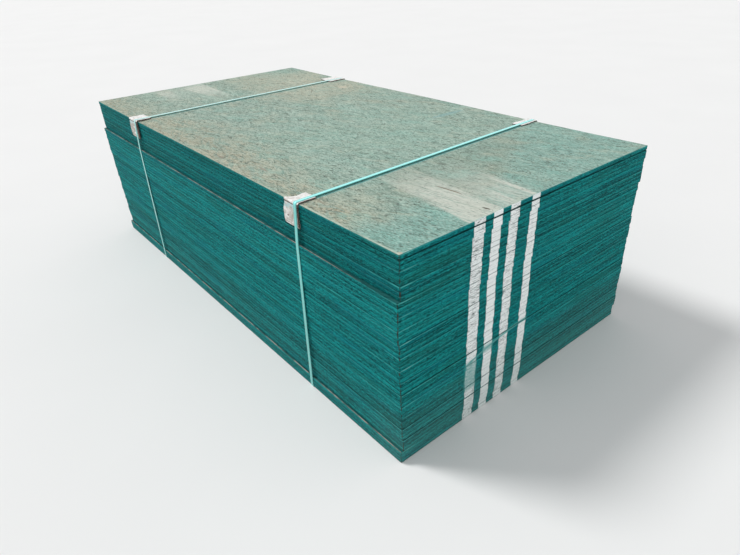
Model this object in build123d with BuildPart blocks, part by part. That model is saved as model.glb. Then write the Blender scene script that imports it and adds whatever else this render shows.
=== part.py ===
"""A strapped stack of painted oriented strand board panels.

Frame: +X runs along the length, towards the striped end that is seen first, and +Z is up.
The front long side faces -Y. The origin is the middle of the footprint, on the plane that
the undersides of the two straps lie on, which is what the stack rests on. Millimetres.
"""

import os
from math import asin, cos, degrees, radians, sin, sqrt, tan

from build123d import *

# Panels: nominal 4 by 8 ft boards, sawn and laid in books of a few boards each.
panel_length = 2438.0
panel_width = 1219.0
panel_thickness = 15.1
panels_per_book = 3
book_count = 16
panel_gap = 0.25

# Books out of line: the upper books sit back from the front, the foot book stands forward.
upper_books = 3
upper_setback = 9.0
foot_books = 1
foot_stand_out = 6.0
middle_lean = 6.0

# Books and single panels also stray by small uneven amounts, turned on by these angles
# (radians) from each one to the next. The upper books were squared up more closely.
book_wander = 1.2
book_step_x = 1.7
book_step_y = 2.3
upper_wander = 0.4
panel_wander = 0.5
panel_step_x = 4.1
panel_step_y = 2.9

# The top sheet is warped: its striped end lifts, most about the stripes, and it bulges a
# little between the straps.
near_end_lift = 4.2
near_end_lift_at_front = 1.2
near_end_lift_at_back = 2.6
lift_peak_y = -110.0
lift_peak_reach = 670.0
far_end_lift = 2.0
middle_bulge = 1.6
held_flat = 75.0
curl_power = 1.5
warp_margin = 30.0
warp_rows = 13
warp_columns = 41
warp_tolerance = 0.001
warp_room = 60.0

# Straps: flat bands round the width. Each crosses the middle of the top at its x, slants a
# little from front to back, and leans towards the far end on its way down the long sides.
strap_width = 16.0
strap_thickness = 0.9
strap_gap = 0.3
strap_near_x = 725.4
strap_far_x = -661.0
strap_near_slant = 1.9
strap_far_slant = 1.1
strap_near_lean = 2.0
strap_far_lean = 3.4
weld_length = 48.0
weld_height = 380.0
least_turn = 0.15

# Edge protectors: laminated board angles, bowed where the strap holds them down. Their legs
# differ between the front (-1) and the back (1).
board_thickness = 4.0
board_gap = 0.5
side_leg = {-1: 79.0, 1: 45.0}
top_leg = {-1: 67.0, 1: 105.0}

# The bend's inside is tight enough to clear the sheet's square edge.
bend_inside = 3 * board_gap
bend_outside_round = bend_inside + board_thickness

panel_count = panels_per_book * book_count
panel_pitch = panel_thickness + panel_gap

stack_base = strap_thickness + strap_gap
top_sheet_z = stack_base + (panel_count - 1) * panel_pitch
stack_top = top_sheet_z + panel_thickness


def book_offset(book):
    """How far a book lies from the middle, as (x, y). Book 0 is the lowest."""
    from_top = book_count - 1 - book
    wander_x = book_wander * sin(book_step_x * book)
    wander_y = sin(book_step_y * book)
    if from_top < upper_books:
        return wander_x, upper_setback + upper_wander * wander_y
    if book < foot_books:
        return wander_x, -foot_stand_out
    middle_books = max(book_count - upper_books - foot_books - 1, 1)
    share = (from_top - upper_books) / middle_books
    return wander_x, middle_lean * (share - 0.5) + book_wander * wander_y


def panel_offset(index):
    """How far a panel lies from the middle, as (x, y). Panel 0 is the lowest."""
    x, y = book_offset(index // panels_per_book)
    wander_x = panel_wander * sin(panel_step_x * index)
    return x + wander_x, y + panel_wander * cos(panel_step_y * index)


def panel_bottom(index):
    """Height of a flat panel's underside."""
    return stack_base + index * panel_pitch


def sheet_lift(x, y):
    """How far the top sheet stands off the sheet below it, beyond the gap between panels."""
    half_length = panel_length / 2
    across = (y + panel_width / 2) / panel_width
    ends = near_end_lift_at_front + (near_end_lift_at_back - near_end_lift_at_front) * across
    peak = near_end_lift - near_end_lift_at_front
    hump = peak * max(0.0, 1.0 - ((y - lift_peak_y) / lift_peak_reach) ** 2)
    near_start = strap_near_x + held_flat
    far_start = strap_far_x - held_flat
    if x > near_start:
        return (ends + hump) * ((x - near_start) / (half_length - near_start)) ** curl_power
    if x < far_start:
        return far_end_lift * ((far_start - x) / (half_length + far_start)) ** curl_power
    middle = (strap_near_x + strap_far_x) / 2
    span = (strap_near_x - strap_far_x) / 2 - held_flat
    return middle_bulge * max(0.0, 1.0 - ((x - middle) / span) ** 2) ** 2


def out_of_line(side, depth):
    """How far out the long edges reach on one side, over the panels down to a depth."""
    covered = [i for i in range(panel_count) if stack_top - panel_bottom(i) <= depth + panel_pitch]
    return panel_width / 2 + max(side * panel_offset(i)[1] for i in covered)


def leg_flare(side):
    """How far a side leg opens at its foot to meet the strap, which a lower book pushes out."""
    leg = side_leg[side]
    corner = out_of_line(side, leg) + board_gap + board_thickness
    below = [i for i in range(panel_count) if stack_top - panel_bottom(i) > leg + panel_pitch]
    slopes = [
        (panel_width / 2 + side * panel_offset(i)[1] - corner)
        / (stack_top - panel_bottom(i) - panel_thickness)
        for i in below
    ]
    return max(slopes + [0.0]) * leg


def board_outline(side):
    """Lines of an edge protector's section where the strap presses it, as (y, z)."""
    edge = out_of_line(side, side_leg[side])
    foot = (side * (edge + board_gap + leg_flare(side)), stack_top - side_leg[side])
    bend = (side * (edge + board_gap), stack_top + board_gap)
    end = (side * (edge - top_leg[side]), stack_top + board_gap)
    foot_outside = (foot[0] + side * board_thickness, foot[1])
    bend_outside = (bend[0] + side * board_thickness, bend[1] + board_thickness)
    end_outside = (end[0], end[1] + board_thickness)
    FilletPolyline(foot, bend, end, radius=bend_inside)
    Line(end, end_outside)
    FilletPolyline(end_outside, bend_outside, foot_outside, radius=bend_outside_round)
    Line(foot_outside, foot)


def strap_x(middle_x, slant, y):
    """Where a strap's centre line crosses a given width on the top."""
    return middle_x - y * tan(radians(slant))


os.makedirs("parts", exist_ok=True)

# Flat panels, each its own board
for index in range(panel_count - 1):
    with BuildPart() as panel:
        with BuildSketch(Plane.XY.offset(panel_bottom(index))):
            with Locations(panel_offset(index)):
                Rectangle(panel_length, panel_width)
        extrude(amount=panel_thickness)
    panel.part.label = f"panel_{index + 1:02d}"
    export_step(panel.part, f"parts/{panel.part.label}.step")

# The warped top sheet: its underside is a curved face, and it keeps its thickness
sheet_x, sheet_y = panel_offset(panel_count - 1)
warp_length = panel_length + 2 * warp_margin
warp_width = panel_width + 2 * warp_margin
underside_points = []
for row in range(warp_rows):
    y = sheet_y + warp_width * (row / (warp_rows - 1) - 0.5)
    line = []
    for column in range(warp_columns):
        x = sheet_x + warp_length * (column / (warp_columns - 1) - 0.5)
        line.append((x, y, top_sheet_z + sheet_lift(x, y)))
    underside_points.append(line)
underside = Face.make_surface_from_array_of_points(underside_points, tol=warp_tolerance)
with BuildPart() as top_panel:
    extrude(underside, amount=panel_thickness, dir=(0, 0, 1))
    with BuildSketch(Plane.XY.offset(top_sheet_z)):
        with Locations((sheet_x, sheet_y)):
            Rectangle(panel_length, panel_width)
    extrude(amount=warp_room, both=True, mode=Mode.INTERSECT)
top_panel.part.label = f"panel_{panel_count:02d}"
export_step(top_panel.part, f"parts/{top_panel.part.label}.step")


# Edge protectors: the strap presses the board angle flat, and either way of the strap it bows
# off the stack: its section turns about an axis out beyond the edge, square to the bisector
def edge_protector(name, side, middle_x, slant, lean, reaches, lifts):
    """Makes and writes one edge protector from its reach and end lift, far way then near way."""
    middle = strap_x(middle_x, slant, side * panel_width / 2)
    crossing = max(top_leg[side] * tan(radians(slant)), side_leg[side] * tan(radians(lean)))
    pressed = strap_width / 2 + crossing
    inner_y = out_of_line(side, side_leg[side]) + board_gap
    inner_z = stack_top + board_gap
    with BuildPart() as protector:
        with BuildSketch(Plane.YZ.offset(middle - pressed)):
            with BuildLine():
                board_outline(side)
            make_face()
        extrude(amount=2 * pressed)
        for way, reach, lift in zip((-1, 1), reaches, lifts):
            bow_length = reach - pressed
            bow_radius = (bow_length**2 + lift**2) / (2 * lift)
            off = bow_radius / sqrt(2)
            bow_centre = (middle + way * pressed, side * (inner_y + off), inner_z + off)
            with BuildSketch(Plane.YZ.offset(middle + way * pressed)):
                with BuildLine():
                    board_outline(side)
                make_face()
            revolve(
                axis=Axis(bow_centre, (0, -way, side * way)),
                revolution_arc=degrees(asin(bow_length / bow_radius)),
            )
    protector.part.label = name
    export_step(protector.part, f"parts/{name}.step")


strap_near = (strap_near_x, strap_near_slant, strap_near_lean)
strap_far = (strap_far_x, strap_far_slant, strap_far_lean)
edge_protector("edge_protector_near_front", -1, *strap_near, (62, 17), (4.0, 0.2))
edge_protector("edge_protector_near_back", 1, *strap_near, (27, 20), (0.8, 0.3))
edge_protector("edge_protector_far_front", -1, *strap_far, (66, 30), (4.0, 1.5))
edge_protector("edge_protector_far_back", 1, *strap_far, (60, 30), (3.0, 1.0))


# Straps: each follows the tightest line round the panels and its two protectors
def taut_side(side):
    """Points that a taut strap leans on down one long side, as (distance out, z), top first."""
    bend_out = out_of_line(side, side_leg[side]) + board_gap + board_thickness
    line = [(bend_out, stack_top + board_gap + board_thickness)]
    corners = [(bend_out + leg_flare(side), stack_top - side_leg[side])]
    for index in range(panel_count):
        out = panel_width / 2 + side * panel_offset(index)[1]
        corners.append((out, panel_bottom(index)))
        corners.append((out, panel_bottom(index) + panel_thickness))
    while line[-1][1] > stack_base:
        out, z = line[-1]
        below = [corner for corner in corners if corner[1] < z]
        line.append(max(below, key=lambda corner: (corner[0] - out) / (z - corner[1])))
    return [point for point in line if point in (line[0], line[-1]) or stands_out(line, point)]


def stands_out(line, point):
    """Whether a point turns the line enough for the strap to show it."""
    place = line.index(point)
    (out_above, z_above), (out_below, z_below) = line[place - 1], line[place + 1]
    share = (z_above - point[1]) / (z_above - z_below)
    return point[0] - (out_above + share * (out_below - out_above)) > least_turn


def strap_face(outline, clearance):
    """Face inside a closed line that runs a clearance outside the taut outline."""
    with BuildSketch() as face:
        with BuildLine():
            Polyline(*outline, close=True)
        make_face()
        offset(amount=clearance, kind=Kind.INTERSECTION)
        fillet(face.vertices().group_by(Axis.Y)[-1], radius=bend_outside_round + clearance)
        fillet(face.vertices().group_by(Axis.Y)[0], radius=clearance)
    return face.sketch


def strap(name, middle_x, slant, lean):
    """Makes and writes one strap, a closed band with its welded lap on the back."""
    front = [(-out, z) for out, z in taut_side(-1)]
    back = [(out, z) for out, z in taut_side(1)]
    across = Vector(-tan(radians(slant)), 1, 0)
    upward = Vector(tan(radians(lean)), 0, 1)
    top_middle = Vector(middle_x, 0, stack_top)
    run = Plane(top_middle, x_dir=across, z_dir=across.cross(upward))
    outline = []
    for y, z in front + back[::-1]:
        place = run.to_local_coords(top_middle + across * y + upward * (z - stack_top))
        outline.append((place.X, place.Y))
    with BuildPart() as loop:
        with BuildSketch(run):
            add(strap_face(outline, strap_gap + 2 * strap_thickness))
            with Locations((panel_width / 2, weld_height - stack_top)):
                Rectangle(panel_width / 2, weld_length, mode=Mode.INTERSECT)
            add(strap_face(outline, strap_gap + strap_thickness))
            add(strap_face(outline, strap_gap), mode=Mode.SUBTRACT)
        extrude(amount=strap_width / 2, dir=(1, 0, 0), both=True)
    loop.part.label = name
    export_step(loop.part, f"parts/{name}.step")


strap("strap_near", *strap_near)
strap("strap_far", *strap_far)
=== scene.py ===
"""The looks of a strapped stack of painted oriented strand board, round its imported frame.

Everything is in metres in the frame's own axes: +X along the length towards the near end,
-Y out of the front long side, +Z up.
"""

from functools import partialmethod
from math import asin, atan2, cos, pi, radians, sin

import bmesh
import bpy
import numpy as np
from mathutils import Matrix, Vector
from mathutils.bvhtree import BVHTree


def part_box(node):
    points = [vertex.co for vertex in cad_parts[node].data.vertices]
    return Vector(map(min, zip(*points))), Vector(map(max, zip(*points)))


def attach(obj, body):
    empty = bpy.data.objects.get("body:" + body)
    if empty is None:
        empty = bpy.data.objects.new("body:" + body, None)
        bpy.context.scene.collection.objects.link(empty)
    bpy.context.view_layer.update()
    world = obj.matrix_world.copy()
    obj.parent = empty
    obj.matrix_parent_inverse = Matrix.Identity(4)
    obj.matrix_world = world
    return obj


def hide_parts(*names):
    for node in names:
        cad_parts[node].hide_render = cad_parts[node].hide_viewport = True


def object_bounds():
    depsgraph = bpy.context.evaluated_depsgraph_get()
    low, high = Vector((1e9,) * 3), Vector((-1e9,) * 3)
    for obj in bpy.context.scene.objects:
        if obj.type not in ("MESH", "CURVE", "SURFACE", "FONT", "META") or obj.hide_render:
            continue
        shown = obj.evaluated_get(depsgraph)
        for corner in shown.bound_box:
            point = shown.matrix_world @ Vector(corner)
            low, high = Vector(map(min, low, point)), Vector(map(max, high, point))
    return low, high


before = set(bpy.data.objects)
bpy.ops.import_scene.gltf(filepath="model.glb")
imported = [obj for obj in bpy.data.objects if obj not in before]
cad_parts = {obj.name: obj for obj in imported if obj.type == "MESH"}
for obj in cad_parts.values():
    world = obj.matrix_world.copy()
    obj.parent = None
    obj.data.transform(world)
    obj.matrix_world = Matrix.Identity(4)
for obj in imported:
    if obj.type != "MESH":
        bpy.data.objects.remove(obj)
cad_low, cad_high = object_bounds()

MM = 0.001
SEED = 4811
scene = bpy.context.scene

# Photograph: its size, and the camera fitted to the stack's corners
PHOTO_WIDTH = 740
PHOTO_HEIGHT = 555
CENTRE_PIXEL = (387.6, 285.6)
CAMERA_PLACE = (2.1467, -1.3991, 1.3974)
CAMERA_HEADING = radians(140.74)
CAMERA_DIP = radians(31.28)
CAMERA_ROLL = radians(-2.375)
SENSOR = 36
LENS = 27.17

# Lamps: name, the way the light goes, strength and angle across in degrees
LAMPS = (
    ("key", (0.55, 0.33, -0.77), 1.9, 16),
    ("fill", (-0.8, 0.3, -0.45), 0.5, 50),
)
SURROUND_COLOUR = (0.96, 0.98, 1, 1)
SURROUND_STRENGTH = 0.55
FLOOR_HALF = 30

# Boards
PANEL_COUNT = 48
PANELS_PER_BOOK = 3
EDGE_STEP = 12 * MM
SHEET_STEP = 9 * MM
CORNER_STEPS = (0, 1.5 * MM, 3.5 * MM, 7 * MM)
ROW_DEPTHS = (0, 0.05, 0.24, 0.42, 0.6, 0.78, 0.95, 1)
ARRIS = 0.7 * MM
SHEET_SMOOTHING = 5
SHEET_RELIEF = 0.35 * MM
SHEET_TONE = 0.55
SHEET_STRIPE_SHIFT = 1 * MM
STRIPE_JITTER = 0.9 * MM
SHARP_ANGLE = radians(35)

# Rough edges: how far apart their uneven places are, and how deep
SAW_WAVE = (0.25, 0.25 * MM)
STRAND_RELIEF = (0.055, 0.45 * MM)
FIBRE_RELIEF = (0.02, 0.15 * MM)
ARRIS_RELIEF = (0.03, 1.4 * ARRIS, 0.7 * ARRIS)

# Ranges in millimetres for knocked corners, the bruises round them and the chips between, and
# plain ranges for the bruises' strength and the chips' number
KNOCK = (0.5, 1.6)
DEEP_KNOCK = (1, 4)
DEEP_KNOCK_SHARE = 0.4
BRUISE_REACH = (2.5, 5)
BRUISE = (0.35, 1.3)
CHIPS = (2, 6)
CHIP_REACH = (6, 22)
CHIP_DEPTH = (0.8, 2.2)

# Painted highlight on upper arrises: strength on a book's top board and on the others, and reach
BOOK_GLINT = (0.55, 1)
OTHER_GLINT = (0, 0.45)
GLINT_REACH = (0.16, 0.42)
GLINT_WAVE = (0.03, 1, 0.35)
LEAST_GLINT = 0.5

# Ledges along the front: heights of the broad faces that show, and the front of the boards
UPPER_LEDGE = 0.5996
FOOT_LEDGE = 0.047
LEDGE_HALF = 2 * MM
FRONT_LIP = -0.6108

# Stripes on both short ends: start and stop from the front edge, and how well the paint holds
STRIPES = (
    (0.2786, 0.3256, 0.535),
    (0.3606, 0.4006, 0.64),
    (0.4376, 0.4796, 0.545),
    (0.5376, 0.5756, 0.595),
)
STRIPE_RIM = 1.2 * MM
STRIPE_WANDER = (2, -2, -6, -8, -8, -8, -7, -7, -8, -8, -9, -15)

# A sagging run of thin teal paint across the near end. Its region and those of its two stains
# give a middle, a half and a soft rim for each of two coordinates
RUN_CREST = 0.035
RUN_SAG = 0.55
RUN = (0.28, 3.5 * MM, 3 * MM, -0.18, 0.145, 0.02)
FIRST_STAIN = (-0.307, 0.024, 0.008, 0.185, 0.045, 0.03)
SECOND_STAIN = (-0.228, 0.022, 0.008, 0.258, 0.006, 0.02)

# Layers of strands, lowest first: length and width in millimetres, turn, seed, and from which
# random numbers on a strand covers the layers under it
STRAND_LAYERS = (
    (120, 18, -12, 1.3, ()),
    (95, 13, 23, 4.9, (0.5, 0.56)),
    (80, 11, 3, 8.2, (0.56, 0.62)),
    (60, 8, -27, 6.1, (0.7, 0.75)),
)
RAW_COLOURS = ((0.004, 0.06, 0.06), (0.02, 0.125, 0.12))
TOP_COLOURS = ((0.206, 0.306, 0.253), (0.442, 0.575, 0.487))

# Regions of the top sheet for x and y: tan at the far back, and teal short of the near strap
BACK_TAN = (-0.78, 0.22, 0.42, 0.42, 0.16, 0.26)
TEAL_CLOUD = (0.36, 0.14, 0.4, 0.02, 0.18, 0.4)

# Overspray on the top sheet, inward from the stripes: middle at the edge, drift for each metre,
# half width, its growth for each metre, reach and strength
NEAR_SPRAY = (
    (-0.272, 0.07, 0.068, -0.03, 0.56, 1),
    (-0.225, 0.09, 0.034, 0.03, 0.62, 0.85),
    (-0.322, 0.13, 0.022, -0.02, 0.38, 0.85),
    (-0.143, 0.17, 0.017, 0.02, 0.26, 0.8),
    (-0.048, 0.11, 0.011, 0, 0.38, 0.95),
    (-0.078, 0.04, 0.02, 0.03, 0.34, 0.62),
    (-0.152, 0.1, 0.026, 0.07, 0.4, 0.6),
    (-0.16, 0.05, 0.14, 0.1, 0.48, 0.46),
)
FAR_SPRAY = (
    (-0.085, 0.02, 0.075, -0.05, 0.52, 0.95),
    (-0.055, 0.02, 0.026, 0, 0.4, 0.6),
    (-0.265, -0.02, 0.045, -0.04, 0.42, 0.68),
    (-0.17, -0.15, 0.13, 0, 0.55, 0.24),
)

# Single marks on the top sheet: place, half length and width in millimetres, turn, colour and
# strength
MARKS = (
    (-0.477, 0.485, 32, 24, 10, (0.54, 0.5, 0.39), 0.8),
    (0.357, 0.455, 17, 105, -2, (0.185, 0.375, 0.39), 0.42),
    (0.158, -0.562, 30, 7, -4, (0.25, 0.215, 0.17), 0.65),
    (0.4, -0.516, 38, 7, -3, (0.28, 0.235, 0.19), 0.55),
    (1.182, -0.232, 15, 4, 8, (0.06, 0.045, 0.03), 0.95),
    (1, -0.2, 62, 4, 3, (0.2, 0.165, 0.12), 0.85),
    (-0.527, 0.31, 52, 4, -36, (0.2, 0.19, 0.15), 0.6),
    (-0.1, 0.1, 22, 3, 12, (0.17, 0.19, 0.16), 0.5),
    (0.93, 0.05, 16, 4, -14, (0.12, 0.18, 0.15), 0.6),
    (0.79, -0.54, 45, 4, -9, (0.22, 0.2, 0.16), 0.55),
    (1.213, -0.592, 9, 8, 20, (0.6, 0.42, 0.32), 0.8),
)

# Straps, far then near: middle on the top, and how the line slants and leans for each metre
STRAPS = ((-0.661, 0.0192, 0.0594), (0.7254, 0.0332, 0.0349))
STRAP_TOP = 0.7425
STRAP_HALF = 8.5
WAFFLE = 2600

# Edge protectors, in millimetres: the laminated board that they are made of
BOARD_THICKNESS = 4
BEND_RADIUS = 3.5
BOARD_STEP = 1.5
INNER_TOP = 738.25
LEG_FOOT = 737.75

# Legs on the front and back sides, in millimetres: inner face's distance out, the top leg's end,
# the side leg's length and its flare
LEGS = {-1: (601.15, 533.65, 79, 4.05), 1: (619.085, 513.58, 45, 0)}

# Each protector, in millimetres: side, middle of the strap, half of the pressed width, reaches
# and lifts of its far and near ways, and what is torn off each end, from top leg to side leg
PROTECTORS = {
    "edge_protector_near_front": (
        -1, 745.62, 10.76, (62, 17), (4, 0.2),
        ((23, 21, 22, 20, 3, 3, 0.5, 0.5, 3, 7), (3, 2, 3, 1, 1, 4, 4, 3, 1, 0)),
    ),
    "edge_protector_near_back": (
        1, 705.18, 11.48, (27, 20), (0.8, 0.3),
        ((2, 1, 3, 1, 0, 0, 1, 2, 1, 2), (1, 2, 0, 2, 1, 0, 1, 1, 2, 3)),
    ),
    "edge_protector_far_front": (
        -1, -649.3, 12.69, (66, 30), (4, 1.5),
        ((5, 4, 2, 1, 0, 0, 1, 2, 6, 15), (10, 6, 4, 1, 0, 1, 2, 2, 1, 2)),
    ),
    "edge_protector_far_back": (
        1, -672.7, 10.67, (60, 30), (3, 1),
        ((3, 2, 4, 2, 1, 0, 1, 2, 3, 4), (4, 3, 1, 2, 0, 0, 1, 2, 3, 2)),
    ),
}

# A pit and a split near the foot of the near front protector: x, z, half length, half height
PITS = ((0.703, 0.689, 5 * MM, 3 * MM), (0.702, 0.666, 19 * MM, 1.1 * MM))

# Rumples of the front protectors, in millimetres: a bump over the bend, a crease below it, and
# the curl of the short near way
BUMP_AT, BUMP_WIDTH, BUMP_HEIGHT = 1, 4.5, 1.8
CREASE_AT, CREASE_WIDTH, CREASE_DEPTH = 9.5, 2.8, 1.3
CURL, CURL_AT_FOOT = 1.5, 1.4
RUMPLE_HEIGHT = 0.85
FRAY = (0.035, 1.6)
LEG_FRAY = (4, 2.4)
FRAY_REACH = 20
PLIES_BACK = (0.2, 0.9)
# Painted shade on the front protectors: columns at the near end, and its strength
SHADED_END_COLUMNS = 4
WING_SHADE_RANGE = (0.05, 0.6)


def panel_name(index):
    """Node name of a panel, counted from 0 at the bottom."""
    return f"panel_{index + 1:02d}"


def add_node(tree, kind, inputs=None, output=0, **settings):
    """Adds a node with its inputs, and gives one of its outputs, or the node."""
    node = tree.nodes.new("ShaderNode" + kind)
    for key, value in settings.items():
        setattr(node, key, value)
    for key, value in (inputs or {}).items():
        if isinstance(value, bpy.types.NodeSocket):
            tree.links.new(value, node.inputs[key])
        else:
            node.inputs[key].default_value = value
    return node if output is None else node.outputs[output]


class Shader:
    """One node material, with a short call for each kind of node."""

    def __init__(self, name):
        self.material = bpy.data.materials.new(name)
        self.material.use_nodes = True
        self.material.node_tree.nodes.clear()
        self.place = self.add("TexCoord", output="Object")
        self.x, self.y, self.z = self.add("SeparateXYZ", {"Vector": self.place}, None).outputs
        self.plane = self.place

    def add(self, kind, inputs=None, output=0, **settings):
        """Adds a node to this material."""
        return add_node(self.material.node_tree, kind, inputs, output, **settings)

    def math(self, operation, *values):
        """A Math node on numbers or sockets."""
        return self.add("Math", dict(enumerate(values)), operation=operation)

    plus = partialmethod(math, "ADD")
    minus = partialmethod(math, "SUBTRACT")
    times = partialmethod(math, "MULTIPLY")
    most = partialmethod(math, "MAXIMUM")

    def away(self, value, middle):
        """How far a value is from a middle, either way."""
        return self.math("ABSOLUTE", self.minus(value, middle))

    def uneven(self, value, pattern, amount):
        """A value with a pattern added that swings about 0."""
        return self.plus(value, self.times(self.minus(pattern, 0.5), amount))

    def ramp(self, value, low, high, to_low=0, to_high=1):
        """Carries a value smoothly from low..high over to to_low..to_high."""
        inputs = {"Value": value, "From Min": low, "From Max": high,
                  "To Min": to_low, "To Max": to_high}
        return self.add("MapRange", inputs, interpolation_type="SMOOTHSTEP", clamp=True)

    def fade(self, value, *ramp):
        """A value times a ramp."""
        return self.times(value, self.ramp(*ramp))

    def both(self, first, second):
        """Two ramps, multiplied."""
        return self.fade(self.ramp(*first), *second)

    def bump_at(self, value, middle, half, soft):
        """1 within half of the middle, falling to 0 over the soft distance beyond."""
        reach = self.minus(self.away(value, middle), half)
        return self.minus(1, self.ramp(reach, 0, soft))

    def region(self, first, second, sizes):
        """1 within a region: a middle, a half and a soft rim for each of two coordinates."""
        return self.times(self.bump_at(first, *sizes[:3]), self.bump_at(second, *sizes[3:]))

    def mix(self, share, first, second, blend="MIX"):
        """Mixes two colours."""
        inputs = {0: share, 6: self.colour(first), 7: self.colour(second)}
        return self.add("Mix", inputs, output=2, data_type="RGBA", blend_type=blend)

    def tint(self, under, over, pattern, low, high, strength=1):
        """Lays a colour over another where a pattern runs from low to high."""
        return self.mix(self.ramp(pattern, low, high, 0, strength), under, over)

    def between(self, share, first, second):
        """Mixes two numbers."""
        return self.add("Mix", {0: share, 2: first, 3: second})

    def colour(self, value):
        """Three numbers as a colour, or a socket as it is."""
        return value if isinstance(value, bpy.types.NodeSocket) else (*value, 1)

    def vector(self, x, y, z=0):
        """A vector from three numbers or sockets."""
        return self.add("CombineXYZ", {0: x, 1: y, 2: z})

    def laid(self, vector, size, turn=0, shift=(0, 0)):
        """Coordinates of a pattern with this size, at this angle in degrees."""
        inputs = {"Vector": vector, "Scale": size, "Rotation": (0, 0, radians(turn)),
                  "Location": (*shift, 0)[:3]}
        return self.add("Mapping", inputs, vector_type="TEXTURE")

    def noise(self, vector, detail=2, roughness=0.5):
        """Noise from 0 to 1 over coordinates that are already laid."""
        inputs = {"Vector": vector, "Scale": 1, "Detail": detail, "Roughness": roughness}
        return self.add("TexNoise", inputs)

    def streaks(self, length, width, detail=2, roughness=0.5, turn=0, shift=(0, 0), plane=None):
        """Noise in grains of this length and width in millimetres, at this angle."""
        size = (length * MM, width * MM, 1)
        return self.noise(self.laid(plane or self.plane, size, turn, shift), detail, roughness)

    def attribute(self, name):
        """A number that the mesh carries on its points."""
        return self.add("Attribute", output="Fac", attribute_name=name)

    def finish(self, colour, roughness, height=None, depth=1 * MM, **constants):
        """Makes the surface shader from a colour, a roughness and a bump height."""
        inputs = {"Base Color": colour, "Roughness": roughness}
        if height is not None:
            bump = {"Height": height, "Distance": depth, "Strength": 1}
            inputs["Normal"] = self.add("Bump", bump)
        for key, value in constants.items():
            inputs[key.replace("_", " ")] = value
        surface = self.add("BsdfPrincipled", inputs)
        self.add("OutputMaterial", {"Surface": surface}, output=None)
        return self.material


def strands(s, length, width, turn, seed):
    """One layer of wood strands: a random number for each strand, and a second one."""
    wavy = s.streaks(length * 0.8, width * 2.2, 1, turn=turn, shift=(seed, 0))
    sway = s.times(s.minus(wavy, 0.5), width * 1.5 * MM)
    bent = s.add("VectorMath", {0: s.place, 1: s.vector(0, sway)}, operation="ADD")
    laid = s.laid(bent, (length * MM, width * MM, 1), turn, (seed, seed * 0.7))
    cells = s.add("TexVoronoi", {"Vector": laid, "Scale": 1}, output="Color",
                  feature="F1", voronoi_dimensions="2D")
    split = s.add("SeparateColor", {"Color": cells}, output=None)
    return split.outputs[0], split.outputs[1]


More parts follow.
